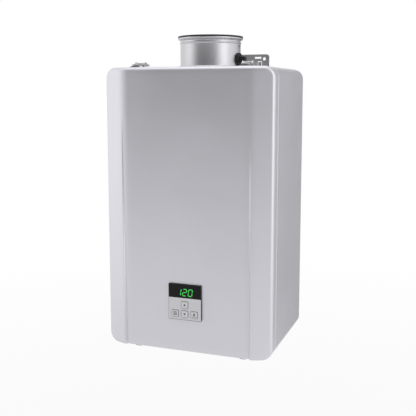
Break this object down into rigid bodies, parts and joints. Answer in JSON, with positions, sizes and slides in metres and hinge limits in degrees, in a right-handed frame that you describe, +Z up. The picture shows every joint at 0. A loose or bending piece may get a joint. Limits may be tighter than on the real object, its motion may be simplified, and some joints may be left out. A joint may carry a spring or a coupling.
{
  "type": "tankless gas water heater",
  "caption": "Wall-hung tankless gas water heater: silver case with latched front cover, concentric vent collar, control panel, burner, heat exchanger, fan and pipework.",
  "frame": {"origin": "midway between the two upper wall screws, on the wall's surface", "axes": "+Z up, +Y into the wall, +X to the right of someone who faces the heater"},
  "size_m": [0.356, 0.2583, 0.677],
  "materials": {
    "silver_paint": "satin silver metallic paint",
    "zinc_steel": "zinc plated",
    "plated_steel": "bright plated",
    "vent_steel": "rolled sheet",
    "black_rubber": "matt",
    "black_plastic": "moulded",
    "display_window": "polished",
    "display_green": "lit",
    "keypad_silver": "printed film",
    "button_silver": "moulded",
    "board_green": "solder mask",
    "copper": "drawn copper",
    "brass": "cast",
    "cast_aluminium": "die cast",
    "fan_wheel": "pressed",
    "motor_black": "baked enamel",
    "ceramic": "glazed",
    "white_plastic": "moulded"
  },
  "bodies": {
    "case": {"case_shell": "silver_paint", "front_frame": "silver_paint", "back_plate": "silver_paint", "upper_wall_bracket": "zinc_steel", "lower_wall_bracket": "zinc_steel", "stack_bracket": "zinc_steel", "bracket_screws": "plated_steel", "collar_screws": "plated_steel", "latch_bases": "plated_steel", "latch_pins": "plated_steel", "gas_pipe": "plated_steel", "gas_inlet": "plated_steel", "flue_collar": "vent_steel", "exhaust_socket": "vent_steel", "test_port_boss": "vent_steel", "exhaust_hood": "vent_steel", "burner_box": "vent_steel", "burner_bars": "vent_steel", "flue_rim_seal": "black_rubber", "cover_gasket": "black_rubber", "cord_gland": "black_plastic", "gas_solenoids": "black_plastic", "igniter": "black_plastic", "flow_sensor": "black_plastic", "heat_exchanger": "copper", "combustion_chamber": "copper", "cold_pipe": "copper", "hot_pipe": "copper", "cold_inlet": "brass", "hot_outlet": "brass", "water_valve": "brass", "gas_manifold": "cast_aluminium", "gas_valve": "cast_aluminium", "fan_housing": "cast_aluminium", "fan_motor": "motor_black", "electrodes": "ceramic", "controller_box": "white_plastic"},
    "cover": {"front_cover": "silver_paint", "latch_keepers": "plated_steel", "control_housing": "black_plastic", "display_window": "display_window", "display_digits": "display_green", "keypad": "keypad_silver", "control_board": "board_green"},
    "port_cap": {"test_port_cap": "black_rubber"},
    "filter": {"filter_plug": "black_plastic"},
    "fan_rotor": {"fan_impeller": "fan_wheel"},
    "flow_rotor": {"flow_turbine": "white_plastic"},
    "lever_top_left": {"latch_lever_top_left": "plated_steel"},
    "bail_top_left": {"latch_bail_top_left": "plated_steel"},
    "lever_top_right": {"latch_lever_top_right": "plated_steel"},
    "bail_top_right": {"latch_bail_top_right": "plated_steel"},
    "lever_bottom_left": {"latch_lever_bottom_left": "plated_steel"},
    "bail_bottom_left": {"latch_bail_bottom_left": "plated_steel"},
    "lever_bottom_right": {"latch_lever_bottom_right": "plated_steel"},
    "bail_bottom_right": {"latch_bail_bottom_right": "plated_steel"},
    "key_up": {"button_up": "button_silver"},
    "key_down": {"button_down": "button_silver"},
    "key_left": {"button_left": "button_silver"},
    "key_right": {"button_right": "button_silver"}
  },
  "joints": [
    {"name": "cover_slide", "type": "slide", "parent": "case", "child": "cover", "axis": [0, -1, 0], "range_m": [0, 0.15]},
    {"name": "lever_top_left_lift", "type": "hinge", "parent": "case", "child": "lever_top_left", "pos_m": [-0.115, -0.212, -0.019], "axis": [1, 0, 0], "range_deg": [0, 100]},
    {"name": "bail_top_left_swing", "type": "hinge", "parent": "lever_top_left", "child": "bail_top_left", "pos_m": [-0.115, -0.208, -0.015], "axis": [1, 0, 0], "range_deg": [-120, 0]},
    {"name": "lever_top_right_lift", "type": "hinge", "parent": "case", "child": "lever_top_right", "pos_m": [0.115, -0.212, -0.019], "axis": [1, 0, 0], "range_deg": [0, 100]},
    {"name": "bail_top_right_swing", "type": "hinge", "parent": "lever_top_right", "child": "bail_top_right", "pos_m": [0.115, -0.208, -0.015], "axis": [1, 0, 0], "range_deg": [-120, 0]},
    {"name": "lever_bottom_left_lift", "type": "hinge", "parent": "case", "child": "lever_bottom_left", "pos_m": [-0.115, -0.212, -0.605], "axis": [-1, 0, 0], "range_deg": [0, 100]},
    {"name": "bail_bottom_left_swing", "type": "hinge", "parent": "lever_bottom_left", "child": "bail_bottom_left", "pos_m": [-0.115, -0.208, -0.609], "axis": [-1, 0, 0], "range_deg": [-120, 0]},
    {"name": "lever_bottom_right_lift", "type": "hinge", "parent": "case", "child": "lever_bottom_right", "pos_m": [0.115, -0.212, -0.605], "axis": [-1, 0, 0], "range_deg": [0, 100]},
    {"name": "bail_bottom_right_swing", "type": "hinge", "parent": "lever_bottom_right", "child": "bail_bottom_right", "pos_m": [0.115, -0.208, -0.609], "axis": [-1, 0, 0], "range_deg": [-120, 0]},
    {"name": "key_up_press", "type": "slide", "parent": "cover", "child": "key_up", "axis": [0, 1, 0], "range_m": [0, 0.0008], "stiffness_N_per_m": 800},
    {"name": "key_down_press", "type": "slide", "parent": "cover", "child": "key_down", "axis": [0, 1, 0], "range_m": [0, 0.0008], "stiffness_N_per_m": 800},
    {"name": "key_left_press", "type": "slide", "parent": "cover", "child": "key_left", "axis": [0, 1, 0], "range_m": [0, 0.0008], "stiffness_N_per_m": 800},
    {"name": "key_right_press", "type": "slide", "parent": "cover", "child": "key_right", "axis": [0, 1, 0], "range_m": [0, 0.0008], "stiffness_N_per_m": 800},
    {"name": "fan_spin", "type": "hinge", "parent": "case", "child": "fan_rotor", "pos_m": [0.03, -0.104, -0.406], "axis": [0, 1, 0], "continuous": true},
    {"name": "flow_spin", "type": "hinge", "parent": "case", "child": "flow_rotor", "pos_m": [0.095, -0.154, -0.52], "axis": [0, 0, 1], "continuous": true},
    {"name": "port_cap_pull", "type": "slide", "parent": "case", "child": "port_cap", "axis": [0.9945, -0.1045, 0], "range_m": [0, 0.025]},
    {"name": "filter_pull", "type": "slide", "parent": "case", "child": "filter", "axis": [0, 0, -1], "range_m": [0, 0.05]}
  ],
  "couplings": [
    {"joint": "bail_top_left_swing", "follows": "lever_top_left_lift", "ratio": -1.2},
    {"joint": "bail_top_right_swing", "follows": "lever_top_right_lift", "ratio": -1.2},
    {"joint": "bail_bottom_left_swing", "follows": "lever_bottom_left_lift", "ratio": -1.2},
    {"joint": "bail_bottom_right_swing", "follows": "lever_bottom_right_lift", "ratio": -1.2}
  ]
}
